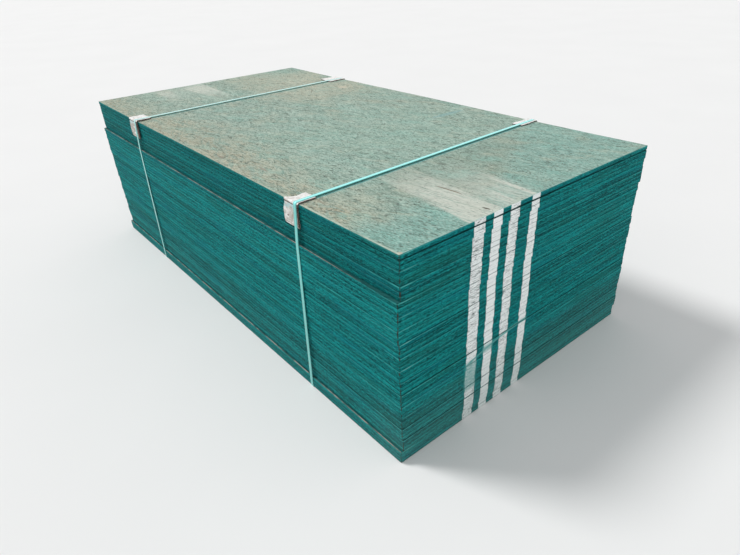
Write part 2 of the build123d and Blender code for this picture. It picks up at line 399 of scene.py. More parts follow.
def edge_material():
    """Teal paint on sawn strand board edges, with the white stripes of the short ends."""
    s = Shader("painted_edge")
    s.plane = s.vector(s.plus(s.x, s.y), s.z)
    across = s.attribute("across")

    # Sawn strands: straight fine lines, long and short, over slow patches
    lines = s.streaks(220, 2.9, 2, 0.6)
    hairs = s.streaks(60, 1.6, 2, 0.6, shift=(4, 0.3))
    specks = s.streaks(13, 2.3, 2, 0.6, shift=(2, 0.6))
    patches = s.streaks(260, 30, shift=(7, 0))
    layer = s.plus(s.times(lines, 0.22), s.times(hairs, 0.28))
    layer = s.plus(layer, s.times(specks, 0.5))
    shade = s.uneven(layer, patches, 0.07)
    shade = s.uneven(shade, s.attribute("tone"), 0.07)
    shade = s.minus(shade, s.times(s.minus(across, 0.42), 0.06))
    paint = s.tint((0.001, 0.05, 0.053), (0.007, 0.285, 0.28), shade, 0.43, 0.565)
    hue = s.streaks(400, 34, shift=(1, 0))
    paint = s.tint(paint, (0.002, 0.158, 0.19), hue, 0.52, 0.7, 0.5)
    paint = s.tint(paint, (0.008, 0.125, 0.105), hue, 0.48, 0.3, 0.5)
    deep = s.both((hairs, 0.4, 0.29), (specks, 0.35, 0.6, 0.3, 0.85))
    paint = s.mix(deep, paint, (0.001, 0.022, 0.024))
    gouges = s.streaks(24, 2.4, shift=(8, 0.4))
    paint = s.tint(paint, (0.001, 0.02, 0.021), gouges, 0.63, 0.71, 0.6)
    grains = s.streaks(5.5, 2.6, 2, 0.6, shift=(6, 0.2))
    paint = s.tint(paint, (0.002, 0.036, 0.037), grains, 0.54, 0.68, 0.6)
    paint = s.tint(paint, (0.018, 0.32, 0.31), grains, 0.44, 0.32, 0.45)
    nicks = s.streaks(13, 2.2, shift=(3, 0.9))
    paint = s.tint(paint, (0.055, 0.33, 0.31), nicks, 0.63, 0.72, 0.5)
    bright = s.both((lines, 0.63, 0.74), (specks, 0.4, 0.6, 0.15, 0.7))
    paint = s.mix(bright, paint, (0.05, 0.35, 0.33))

    # The upper books' front is a little darker
    shaded = s.both((s.z, 0.598, 0.604), (s.y, -0.59, -0.597, 0, 0.24))
    paint = s.mix(shaded, paint, (0.001, 0.04, 0.04))

    # Painted shade in the gaps between boards, and painted highlights on some upper arrises
    broken = s.streaks(160, 12, 2, 0.6, shift=(3, 0))
    rim = s.away(across, 0.5)
    gap_shade = s.both((rim, 0.38, 0.48), (broken, 0.38, 0.66, 0.12, 0.75))
    gap_shade = s.fade(gap_shade, specks, 0.38, 0.6, 0.25, 1)
    paint = s.mix(gap_shade, paint, (0.001, 0.02, 0.022))
    glint = s.attribute("glint")
    arris = s.fade(s.bump_at(across, 0.15, 0.07, 0.06), hairs, 0.3, 0.6, 0.4, 1)
    teal_glint = s.times(arris, s.math("MINIMUM", glint, 1))
    pale_glint = s.fade(arris, glint, 1, 1.6, 0, 0.7)
    paint = s.mix(teal_glint, paint, (0.08, 0.4, 0.375))
    paint = s.mix(pale_glint, paint, (0.21, 0.52, 0.48))

    # Stripes, pitted and dirty
    jag = s.streaks(9, 2.5, plane=s.vector(s.y, s.z))
    inward = s.uneven(s.minus(s.y, s.attribute("stripe_shift")), jag, 5 * MM)
    pits = s.streaks(20, 2, 3, 0.7, shift=(2, 0))
    pitted = s.uneven(pits, s.streaks(70, 22, shift=(5, 2)), 0.3)
    white = s.tint((0.8, 0.86, 0.85), (0.93, 0.95, 0.94), lines, 0.35, 0.65)
    white = s.tint(white, (0.34, 0.43, 0.42), hairs, 0.56, 0.7, 0.55)
    # The painted shade of the gaps between boards crosses the stripes too
    white = s.mix(s.times(gap_shade, 0.85), white, (0.08, 0.12, 0.12))
    for start, stop, hold in STRIPES:
        half = (stop - start) / 2 - 0.5 * MM
        band = s.bump_at(inward, (start + stop) / 2, half, STRIPE_RIM)
        worn = s.tint(white, (0.07, 0.105, 0.098), pitted, hold, hold + 0.07, 0.9)
        paint = s.mix(band, paint, worn)

    # A run of thin teal paint crosses the stripes of the near end, and stains the first two
    sag = s.times(s.math("POWER", s.plus(s.y, RUN_CREST), 2), RUN_SAG)
    run = s.region(s.plus(s.z, sag), s.y, RUN)
    stain = s.most(s.region(s.y, s.z, FIRST_STAIN), s.region(s.y, s.z, SECOND_STAIN))
    stain = s.fade(stain, pits, 0.34, 0.54, 0.35, 0.92)
    washed = s.most(s.times(run, 0.85), s.times(stain, 0.8))
    paint = s.mix(s.fade(washed, s.x, 1, 1.1), paint, (0.085, 0.345, 0.325))

    # Knocked corners and chips show dull bare wood, and the foot of the stack is dusty
    patchy = s.ramp(s.streaks(6, 3, 3), 0.38, 0.62)
    bare = s.mix(patchy, (0.04, 0.046, 0.036), (0.15, 0.115, 0.085))
    paint = s.tint(paint, bare, s.attribute("wear"), 0.35, 0.9, 0.8)
    dark = s.mix(patchy, (0.008, 0.014, 0.011), (0.072, 0.05, 0.036))
    paint = s.tint(paint, dark, s.attribute("knock"), 0.3, 0.75, 0.9)
    dusty = s.both((s.z, 0.3, 0), (s.x, 1, 1.2, 0.1, 0.26))
    paint = s.mix(dusty, paint, (0.12, 0.225, 0.195))

    height = s.plus(layer, s.times(s.ramp(hairs, 0.28, 0.45), 0.35))
    return s.finish(paint, 0.7, height, 0.8 * MM, Specular_IOR_Level=0.04)


def wood_face(s, palette):
    """Strand board's broad face: layers of strands in the palette's colours, and a height."""
    pick, covers = None, []
    for *layer, covering in STRAND_LAYERS:
        tone, lot = strands(s, *layer)
        if covering:
            covers.append(s.ramp(lot, *covering))
            tone = s.between(covers[-1], pick, tone)
        pick = tone
    fibres = s.streaks(55, 4, 4, 0.62, 3)
    crossed = s.streaks(45, 4.5, 3, 0.6, 23)
    grain = s.between(covers[0], fibres, crossed)
    shade = s.plus(s.times(pick, 0.34), s.times(grain, 1))
    colour = s.mix(s.ramp(shade, 0.38, 0.96), *palette)
    height = s.plus(s.times(covers[0], 0.3), s.times(covers[1], 0.4))
    height = s.plus(height, s.times(grain, 0.6))
    return colour, height, pick, grain


def raw_material():
    """Broad faces between boards, seen on the ledges: dusty teal overspray and bare beige."""
    s = Shader("raw_face")
    colour, height, _, grain = wood_face(s, RAW_COLOURS)
    bare = s.mix(grain, (0.32, 0.255, 0.22), (0.58, 0.5, 0.45))
    spots = s.noise(s.laid(s.place, (0.1, 0.3, 0.05), 0, (2, 0)), 3, 0.6)
    out = s.minus(s.y, s.ramp(s.z, 0.1, 0.2, 0, 3 * MM))
    lip = s.ramp(out, FRONT_LIP, FRONT_LIP - 0.8 * MM)
    upper = s.bump_at(s.z, UPPER_LEDGE, LEDGE_HALF, 1 * MM)
    upper = s.fade(upper, s.x, 1.15, 0.8, 0, 0.95)
    upper = s.fade(upper, spots, 0.38, 0.58, 0.12, 0.95)
    foot = s.bump_at(s.z, FOOT_LEDGE, LEDGE_HALF, 1 * MM)
    foot = s.fade(foot, spots, 0.44, 0.56, 0.15, 0.95)
    colour = s.mix(s.times(lip, s.most(upper, foot)), colour, bare)
    return s.finish(colour, 0.9, height, 0.4 * MM, Specular_IOR_Level=0.1)


def sprayed(s, sprays, inward):
    """How strongly one end's overspray covers the top sheet."""
    streaks = s.streaks(220, 6, 3, 0.6, 4)
    specks = s.streaks(16, 5, 3, 0.7, 10)
    total = 0
    for middle, drift, half, growth, reach, strength in sprays:
        centre = s.plus(s.times(inward, drift), middle)
        width = s.plus(s.times(inward, growth), half)
        off = s.uneven(s.math("DIVIDE", s.away(s.y, centre), width), specks, 0.6)
        body = s.minus(1, s.ramp(off, 0.7, 1.12))
        total = s.most(total, s.fade(body, inward, reach, reach * 0.25, 0, strength))
    broken = s.ramp(s.plus(streaks, s.times(specks, 0.8)), 0.68, 1.02, 0.22, 1.1)
    return s.times(total, broken)


def thinned(s, colour, pick, grain, cloud):
    """Tan where the paint has thinned: along the front edge, and toward the far back."""
    front = s.both((s.y, -0.34, -0.58), (s.x, 1.14, 0.92))
    back = s.region(s.x, s.y, BACK_TAN)
    middle_front = s.fade(s.bump_at(s.x, -0.16, 0.28, 0.45), s.y, -0.2, -0.5)
    worn = s.most(s.times(front, 0.85), s.times(back, 0.85))
    worn = s.plus(worn, s.times(middle_front, 0.35))
    worn = s.plus(worn, s.ramp(cloud, 0.48, 0.64, 0, 0.4))
    worn = s.fade(worn, pick, 0.05, 0.85, 0.3, 1)
    tan = s.tint((0.29, 0.272, 0.188), (0.56, 0.54, 0.405), grain, 0.3, 0.7)
    colour = s.mix(worn, colour, tan)
    pale = s.fade(back, cloud, 0.3, 0.55, 0.15, 0.45)
    return s.mix(pale, colour, (0.64, 0.63, 0.5))


def kept_teal(s, colour, grain, cloud, misty):
    """Teal where it has kept: past the near strap, right of a slanting line, and at corners."""
    slanted = s.plus(s.x, s.times(s.y, 0.6))
    lighter = s.ramp(s.plus(slanted, s.times(misty, 0.08)), 1.05, 1.13)
    grey = s.times(s.ramp(s.x, 0.68, 0.8), s.minus(1, lighter))
    grey = s.fade(grey, s.y, -0.45, -0.2)
    colour = s.mix(s.times(grey, 0.55), colour, (0.215, 0.3, 0.24))
    teal = s.tint((0.124, 0.29, 0.244), (0.315, 0.555, 0.495), grain, 0.3, 0.7)
    near_front = s.both((s.x, 0.92, 1.12), (s.y, -0.22, -0.36))
    far_back = s.both((s.x, -0.9, -1.15), (s.y, 0.28, 0.5, 0, 0.8))
    back_edge = s.both((s.y, 0.5, 0.6), (cloud, 0.45, 0.62, 0, 0.7))
    kept = s.fade(lighter, misty, 0.25, 0.65, 0.6, 1)
    kept = s.most(kept, s.most(near_front, far_back))
    kept = s.most(kept, back_edge)
    kept = s.most(kept, s.ramp(misty, 0.55, 0.72, 0, 0.22))
    return s.mix(s.times(kept, 0.78), colour, teal)


def mottled(s, colour, cloud, coarse):
    """Patches of other hues, a teal cloud, and grit that is coarser away from the near end."""
    drift = s.streaks(550, 300, turn=-8, shift=(4, 0))
    colour = s.tint(colour, (0.25, 0.345, 0.29), drift, 0.42, 0.64, 0.16)
    hues = s.streaks(130, 60, 3, 0.65, 24, (9, 4))
    greener = s.both((hues, 0.5, 0.68, 0, 0.34), (s.x, -1.1, -0.5, 0.25, 1))
    colour = s.mix(greener, colour, (0.255, 0.53, 0.45))
    colour = s.tint(colour, (0.5, 0.482, 0.36), hues, 0.47, 0.31, 0.34)
    cooler = s.fade(s.region(s.x, s.y, TEAL_CLOUD), cloud, 0.36, 0.56, 0.12, 0.42)
    colour = s.mix(cooler, colour, (0.3, 0.51, 0.43))
    grit = s.streaks(9, 3.5, 3, 0.7, 6, (5, 3))
    colour = s.tint(colour, (0.13, 0.165, 0.135), grit, 0.5, 0.66, 0.76)
    colour = s.tint(colour, (0.525, 0.6, 0.525), grit, 0.48, 0.32, 0.62)
    distant = s.ramp(s.x, 0.9, 0.2)
    dark = s.fade(distant, coarse, 0.52, 0.66, 0, 0.42)
    light = s.fade(distant, coarse, 0.46, 0.32, 0, 0.38)
    colour = s.mix(dark, colour, (0.165, 0.205, 0.17))
    colour = s.mix(light, colour, (0.52, 0.57, 0.48))
    blotches = s.streaks(70, 20, 3, 0.6, 10, (2, 9))
    colour = s.tint(colour, (0.185, 0.245, 0.195), blotches, 0.54, 0.72, 0.2)
    return s.tint(colour, (0.44, 0.53, 0.44), blotches, 0.44, 0.3, 0.14)


def gaps_between(s):
    """Fine gaps between strands, in four directions."""
    flecks = s.streaks(26, 5, 3, 0.6, 18, (6, 2))
    lines = s.streaks(60, 2.6, 2, 0.5, -7, (1, 5))
    ticks = s.streaks(17, 3, 2, 0.5, -30, (2, 8))
    slits = s.streaks(40, 8, 2, 0.55, 38, (3, 6))
    gaps = s.most(s.ramp(flecks, 0.61, 0.68), s.ramp(lines, 0.66, 0.73))
    gaps = s.most(gaps, s.ramp(ticks, 0.66, 0.72))
    return s.most(gaps, s.both((slits, 0.655, 0.7), (s.x, 1, 0.6, 0.4, 0.9)))


def top_material():
    """The top sheet's faded face: sage and tan strands, overspray, marks and dirt."""
    s = Shader("top_face")
    colour, height, pick, grain = wood_face(s, TOP_COLOURS)
    cloud = s.streaks(160, 85, 3, 0.6, 14)
    misty = s.streaks(110, 45, 3, 0.6, 12, (3, 1))
    coarse = s.streaks(22, 8, 3, 0.7, 4, (8, 1))
    colour = thinned(s, colour, pick, grain, cloud)
    colour = kept_teal(s, colour, grain, cloud, misty)
    colour = mottled(s, colour, cloud, coarse)

    # Dark gaps, more of them past the near strap, thin curved cracks and pale splinters
    gaps = gaps_between(s)
    more = s.ramp(s.plus(cloud, s.ramp(s.x, 0.3, 0.8, 0, 0.14)), 0.42, 0.66)
    dark = s.fade(gaps, more, 0, 1, 0.55, 1)
    colour = s.mix(dark, colour, (0.055, 0.08, 0.065))
    curls = s.streaks(110, 40, 3, 0.55, 16, (7, 3))
    cracks = s.fade(s.ramp(s.away(curls, 0.5), 0.016, 0.006), coarse, 0.42, 0.54, 0, 0.8)
    colour = s.mix(cracks, colour, (0.085, 0.115, 0.095))
    pale = s.streaks(38, 5, 3, 0.6, -14, (1, 7))
    colour = s.tint(colour, (0.5, 0.56, 0.49), pale, 0.62, 0.72, 0.38)

    # Overspray, which leaves the gaps dark, and starts past the edge at the far end
    white = s.mix(grain, (0.47, 0.51, 0.44), (0.71, 0.71, 0.63))
    for inward, sprays in (
        (s.minus(cad_high.x, s.x), NEAR_SPRAY),
        (s.minus(s.x, cad_low.x), FAR_SPRAY),
    ):
        spray = s.math("MINIMUM", sprayed(s, sprays, inward), 0.9)
        if sprays is FAR_SPRAY:
            spray = s.fade(spray, inward, 0.01, 0.09, 0.4, 1)
        colour = s.mix(s.fade(spray, gaps, 0, 1, 1, 0.55), colour, white)

    for x, y, half_long, half_wide, turn, new, strength in MARKS:
        local = s.laid(s.place, (half_long * MM, half_wide * MM, 1), turn, (x, y))
        parts = s.add("SeparateXYZ", {"Vector": local}, output=None).outputs
        squares = [s.math("POWER", s.math("ABSOLUTE", part), 2) for part in parts[:2]]
        ragged = s.uneven(s.plus(*squares), grain, 1.2)
        colour = s.tint(colour, new, ragged, 1.15, 0.45, strength)

    # The near rim keeps a pale teal line, and the front rim a cream one toward the near corner
    line = s.ramp(s.x, cad_high.x - 9 * MM, cad_high.x - 3 * MM, 0, 0.55)
    colour = s.mix(s.fade(line, misty, 0.35, 0.55), colour, (0.28, 0.52, 0.48))
    cream = s.both((s.y, -0.588, -0.596), (s.x, 0.3, 0.95, 0.15, 0.7))
    colour = s.mix(s.fade(cream, misty, 0.3, 0.5), colour, (0.52, 0.6, 0.5))
    bare = s.mix(grain, (0.3, 0.22, 0.16), (0.55, 0.44, 0.34))
    colour = s.tint(colour, bare, s.attribute("wear"), 0.3, 0.9, 0.8)

    # Painted teal shadow along each strap's near edge
    for middle, slant, _ in STRAPS:
        beside = s.plus(s.minus(s.x, middle + STRAP_HALF * MM), s.times(s.y, slant))
        painted_strap_shadow = s.times(s.bump_at(beside, 0, 5 * MM, 6 * MM), 0.6)
        colour = s.mix(painted_strap_shadow, colour, (0.09, 0.4, 0.4))
    height = s.minus(height, s.times(gaps, 0.9))
    return s.finish(colour, 0.8, height, 0.4 * MM, Specular_IOR_Level=0.2)


def cardboard_material():
    """Laminated board: pale mottled paper with scuffs, blotches that make it darker below the top
    leg, and brown plies at its cut edges, darkened to painted shade.
    """
    s = Shader("laminated_board")
    mottle = s.noise(s.laid(s.place, (13 * MM, 13 * MM, 13 * MM)), 4, 0.6)
    fine = s.noise(s.laid(s.place, (2.2 * MM, 2.2 * MM, 2.2 * MM)))
    blotch_noise = s.noise(s.laid(s.place, (20 * MM, 20 * MM, 12 * MM), 0, (2, 5, 1)), 3)
    paper = s.tint((0.88, 0.87, 0.845), (0.66, 0.62, 0.585), mottle, 0.42, 0.66)
    paper = s.tint(paper, (0.46, 0.4, 0.34), fine, 0.48, 0.75, 0.3)
    # Darker and browner in blotches below the top leg
    below = s.ramp(s.z, cad_high.z - 8 * MM, cad_high.z - 26 * MM)
    lower_blotch_colour = s.tint((0.5, 0.49, 0.45), (0.35, 0.3, 0.25), mottle, 0.4, 0.62)
    paper = s.mix(s.times(s.ramp(blotch_noise, 0.38, 0.6, 0.25, 0.95), below), paper, lower_blotch_colour)
    # A teal tint across the front side legs, a little below the bend
    teal_tint = s.bump_at(s.z, cad_high.z - 21 * MM, 5 * MM, 9 * MM)
    teal_tint = s.fade(teal_tint, blotch_noise, 0.62, 0.44)
    teal_tint = s.fade(teal_tint, s.y, -0.6, -0.604)
    paper = s.mix(s.times(teal_tint, 0.8), paper, (0.36, 0.58, 0.59))
    on_front = s.ramp(s.y, 0, -0.1)
    for x, z, half_long, half_high in PITS:
        local = s.laid(s.vector(s.x, s.z), (half_long, half_high, 1), 0, (x, z))
        off = s.add("VectorMath", {0: local}, output="Value", operation="LENGTH")
        pit = s.ramp(s.uneven(off, mottle, 1.4), 1.1, 0.6, 0, 0.8)
        paper = s.mix(s.times(pit, on_front), paper, (0.13, 0.085, 0.06))
    # The crease gets a brown-red line of painted shade
    paper = s.tint(paper, (0.12, 0.062, 0.042), s.attribute("crease"), 0.3, 0.85, 0.9)
    # Cut edges, and the painted shade beside the strap and at the near end: kraft brown darkened to
    # painted shade
    shaded_kraft = s.tint((0.022, 0.011, 0.008), (0.14, 0.085, 0.06), fine, 0.4, 0.7)
    paper = s.tint(paper, shaded_kraft, s.attribute("cut"), 0.02, 0.16, 0.95)
    height = s.plus(mottle, s.times(fine, 0.4))
    return s.finish(paper, 0.82, height, 0.35 * MM, Specular_IOR_Level=0.25)


def strap_material():
    """Glossy teal strapping with its rolled-in waffle pattern and fine scratches."""
    s = Shader("strapping")
    along = s.plus(s.y, s.z)
    scuff = s.streaks(1.2, 60, 3, 0.6, plane=s.vector(s.x, along))
    faded = s.noise(s.laid(s.place, (60 * MM, 60 * MM, 60 * MM)))

    # Distance across the band, from the line that each strap follows
    near = s.ramp(s.x, -0.1, 0.1)
    middle, slants, leans = (s.ramp(near, 0, 1, *pair) for pair in zip(*STRAPS))
    lean = s.times(s.minus(STRAP_TOP, s.z), leans)
    across = s.plus(s.minus(s.x, middle), s.plus(s.times(s.y, slants), lean))
    off = s.math("ABSOLUTE", across)

    # Painted highlight along the middle of the top, painted shade on one edge and down the sides,
    # darker toward the bottom, paler on the far strap
    colour = s.tint((0.105, 0.61, 0.57), (0.15, 0.71, 0.66), faded, 0.3, 0.7)
    level = s.ramp(s.z, 0.735, 0.741, 0.45, 0.9)
    centre = s.times(s.ramp(off, 2.5 * MM, 6 * MM, 1, 0), level)
    colour = s.mix(centre, colour, (0.32, 0.97, 0.93))
    colour = s.tint(colour, (0.035, 0.4, 0.4), across, 3.5 * MM, 7.5 * MM, 0.6)
    colour = s.mix(s.ramp(s.z, 0.741, 0.73), colour, (0.66, 0.78, 0.76), "MULTIPLY")
    colour = s.tint(colour, (0.065, 0.3, 0.275), s.z, 0.68, 0.1, 0.22)
    colour = s.tint(colour, (0.42, 0.76, 0.71), scuff, 0.58, 0.8, 0.45)
    pale = s.both((s.x, 0, -0.2), (s.z, 0.7, 0.735))
    colour = s.mix(s.times(pale, 0.5), colour, (0.6, 0.84, 0.8))

    waves = [s.math("SINE", s.times(line, WAFFLE)) for line in (s.x, along)]
    camber = s.times(s.math("POWER", s.math("DIVIDE", off, 8 * MM), 2), -7)
    height = s.plus(s.plus(s.times(s.times(*waves), 0.3), scuff), camber)
    rough = s.ramp(scuff, 0.3, 0.8, 0.24, 0.38)
    return s.finish(colour, rough, height, 0.12 * MM, Coat_Weight=0.6, Coat_Roughness=0.12)


def floor_material():
    """A plain pale floor with a faint unevenness."""
    s = Shader("pale_floor")
    cloud = s.noise(s.laid(s.place, (0.9, 0.9, 0.9)), 3)
    colour = s.mix(cloud, (0.8, 0.795, 0.785), (0.84, 0.835, 0.825))
    return s.finish(colour, 0.9)


def knots(rng, positions, length, high, low=0):
    """Uneven values along a line: random ones a length apart, and straight lines between."""
    count = int((positions.max() - positions.min()) / length) + 3
    places = positions.min() + length * (np.arange(count) - rng.random())
    return np.interp(positions, places, rng.uniform(low, high, count))


def spaced(low, high, step):
    """Even steps from low to high, with finer ones at both ends."""
    fine = np.array(CORNER_STEPS)
    count = int(round((high - low - 2 * fine[-1]) / step))
    middle = np.linspace(low + fine[-1], high - fine[-1], count + 1)
    return np.concatenate([low + fine[:-1], middle, (high - fine[:-1])[::-1]])


def rim_places(nx, ny):
    """Columns and rows of a grid's rim, counterclockwise from its first corner."""
    across, up = np.arange(nx - 1), np.arange(ny - 1)
    columns = [across, up * 0 + nx - 1, nx - 1 - across, up * 0]
    rows = [across * 0, up, across * 0 + ny - 1, ny - 1 - up]
    return np.concatenate(columns), np.concatenate(rows)


def outline(xs, ys):
    """A rectangle's rim, counterclockwise from the front far corner: points, inward ways,
    distance along it, distance to the nearest corner, and which corner that is."""
    nx, ny = len(xs), len(ys)
    column, row = rim_places(nx, ny)
    rim = np.stack([xs[column], ys[row]], -1)
    ways = [1 * (place == 0) - (place == last) for place, last in ((column, nx - 1), (row, ny - 1))]
    steps = np.hypot(*(np.roll(rim, -1, axis=0) - rim).T)
    run = np.concatenate([[0], np.cumsum(steps)[:-1]])
    corners = rim[[0, nx - 1, nx + ny - 2, 2 * nx + ny - 3]]
    away = np.hypot(*(rim[:, None] - corners[None]).transpose(2, 0, 1))
    return rim, np.stack(ways, -1), run, away.min(axis=1), away.argmin(axis=1)


def unit(values):
    """Values held between 0 and 1."""
    return np.clip(values, 0, 1)


def edge_insets(rng, inward, run, to_corner, corner, top_of_book):
    """How far each row of a board's edge lies inside its box, and its paint's state and painted
    highlights there.
    """
    rows = len(ROW_DEPTHS)
    inset = np.zeros((rows, len(run)))
    worn = np.zeros((rows, len(run)))
    wave = knots(rng, run, *SAW_WAVE)
    for row in range(rows):
        strand = knots(rng, run, *STRAND_RELIEF) * rng.uniform(0.5, 1)
        inset[row] = wave + strand + knots(rng, run, *FIBRE_RELIEF)
    for row in (0, rows - 1):
        inset[row] += knots(rng, run, *ARRIS_RELIEF)

    # Knocked corners, and the bruise round each
    knocked = rng.uniform(*KNOCK, 4)
    knocked = knocked + (rng.random(4) < DEEP_KNOCK_SHARE) * rng.uniform(*DEEP_KNOCK, 4)
    size = knocked[corner] * MM
    chip = size * unit(1 - to_corner / (2.2 * size + 1.5 * MM)) ** 1.5
    inset += chip * rng.uniform(0.4, 1, (rows, 1))
    knock = unit(1.25 - to_corner / (rng.uniform(*BRUISE_REACH) * MM))
    knock = knock * rng.uniform(*BRUISE, (rows, 1))

    # Chips along the arrises
    for _ in range(rng.integers(*CHIPS)):
        place, reach = rng.uniform(0, run.max()), rng.uniform(*CHIP_REACH) * MM
        near = unit(1 - np.abs(run - place) / reach)
        rise = rng.uniform(*CHIP_DEPTH) * MM
        for row, share in ((0, 1), (1, 0.7), (2, 0.2)):
            target = row if rng.random() < 0.7 else rows - 1 - row
            inset[target] += near * rise * share
            worn[target] = np.maximum(worn[target], near * share * 0.8)

    # Painted highlight, stronger toward the corners, with a patch by the near front one
    strength = rng.uniform(*(BOOK_GLINT if top_of_book else OTHER_GLINT))
    fade = unit(1 - to_corner / rng.uniform(*GLINT_REACH)) ** 0.7
    glint = strength * np.maximum(fade, LEAST_GLINT) * knots(rng, run, *GLINT_WAVE)
    patch = unit(1.2 - np.abs(to_corner - 0.03) / rng.uniform(0.02, 0.05))
    on_end = (corner == 1) & (inward[:, 0] < 0)
    glint = np.maximum(glint, patch * on_end * rng.uniform(0.3, 1.6) * top_of_book)
    return inset, {"wear": worn, "knock": knock, "glint": np.tile(glint, (rows, 1))}


def rough_edge(rng, low, high, step, top_of_book):
    """A board's grid lines, its edge as rings of points, still flat, and its paint's state and
    painted highlights.
    """
    xs, ys = (spaced(low[axis], high[axis], step) for axis in (0, 1))
    rim, inward, *along = outline(xs, ys)
    inset, states = edge_insets(rng, inward, *along, top_of_book)
    rings = np.zeros((*inset.shape, 3))
    rings[..., :2] = rim + inward * inset[..., None]
    return xs, ys, rings, states


def grid_faces(numbers, turned=False):
    """Quads over a grid of point numbers, turned over if asked."""
    quads = [numbers[:-1, :-1], numbers[1:, :-1], numbers[1:, 1:], numbers[:-1, 1:]]
    quads = np.stack(quads, -1).reshape(-1, 4)
    return (quads[:, ::-1] if turned else quads).tolist()


def side_faces(rows, count):
    """Quads between closed rings of points, one ring under the other."""
    numbers = np.arange(rows * count).reshape(rows, count)
    return grid_faces(np.column_stack([numbers, numbers[:, 0]]))


def new_object(name, data):
    """An object, linked to the scene."""
    made = bpy.data.objects.new(name, data)
    scene.collection.objects.link(made)
    return made


def make_object(name, points, faces, materials, slots):
    """A mesh object with smooth faces that stay sharp at its real edges."""
    mesh = bpy.data.meshes.new(name)
    mesh.from_pydata([tuple(p) for p in points], [], faces)
    for material in materials:
        mesh.materials.append(material)
    mesh.polygons.foreach_set("material_index", slots)
    mesh.polygons.foreach_set("use_smooth", [True] * len(mesh.polygons))
    mesh.set_sharp_from_angle(angle=SHARP_ANGLE)
    return new_object(name, mesh)


def carry(piece, name, values):
    """Stores numbers on a mesh's points, for its material to read."""
    data = piece.data.attributes.new(name, "FLOAT", "POINT")
    data.data.foreach_set("value", np.asarray(values, np.float32).ravel())


def carry_states(board, states, tone, shift):
    """Stores the paint's state and painted highlights on a board's edge, and what holds for the
    whole board.
    """
    total = len(board.data.vertices)
    states["across"] = np.repeat(ROW_DEPTHS, states["wear"].shape[1])
    for name, values in states.items():
        whole = np.zeros(total)
        whole[: values.size] = values.ravel()
        carry(board, name, whole)
    carry(board, "tone", np.full(total, tone))
    carry(board, "stripe_shift", np.full(total, shift))


def stripe_shift(low, high):
    """Where the stripes start across one board, which wanders down the stack."""
    depth = (cad_high.z - (low.z + high.z) / 2) / (cad_high.z - cad_low.z)
    last = len(STRIPE_WANDER) - 1
    wander = np.interp(depth * last, np.arange(last + 1), STRIPE_WANDER)
    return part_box(panel_name(PANEL_COUNT - 1))[0].y + wander * MM


def flat_board(index, edge, raw):
    """One of the flat boards, with its rough edges and knocked corners."""
    low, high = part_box(panel_name(index))
    rng = np.random.default_rng(SEED + index)
    top_of_book = index % PANELS_PER_BOOK == PANELS_PER_BOOK - 1
    _, _, rings, states = rough_edge(rng, low, high, EDGE_STEP, top_of_book)
    rings[..., 2] = high.z - np.array(ROW_DEPTHS)[:, None] * (high.z - low.z)
    rows, count = rings.shape[:2]
    top, bottom = range(count), range(rows * count - 1, (rows - 1) * count - 1, -1)
    faces = [list(top), *side_faces(rows, count), list(bottom)]
    slots = [1] + [0] * (len(faces) - 2) + [1]
    name = f"board_{index + 1:02d}"
    board = make_object(name, rings.reshape(-1, 3), faces, (edge, raw), slots)
    tone, jitter = rng.random(), rng.normal(0, STRIPE_JITTER)
    carry_states(board, states, tone, stripe_shift(low, high) + jitter)
    return board


def smoothed(field, rounds):
    """Evens out a field by its neighbours a few times."""
    field = np.asarray(field, float)
    for _ in range(rounds):
        padded = np.pad(field, 1, mode="edge")
        field = (padded[:-2, 1:-1] + padded[2:, 1:-1] + padded[1:-1, :-2] + padded[1:-1, 2:]
                 + 4 * padded[1:-1, 1:-1]) / 8
    return field


def sheet_heights(tree, xs, ys, from_above):
    """Heights of the top sheet's upper or lower face over a grid, read off the frame."""
    low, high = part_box(panel_name(PANEL_COUNT - 1))
    start, way = (high.z + 0.1, -1) if from_above else (low.z - 0.1, 1)
    inside = 0.5 * MM
    field = np.empty((len(xs), len(ys)))
    for i, x in enumerate(np.clip(xs, low.x + inside, high.x - inside)):
        for j, y in enumerate(np.clip(ys, low.y + inside, high.y - inside)):
            hit = tree.ray_cast(Vector((x, y, start)), Vector((0, 0, way)))[0]
            field[i, j] = hit.z
    return smoothed(field, SHEET_SMOOTHING)


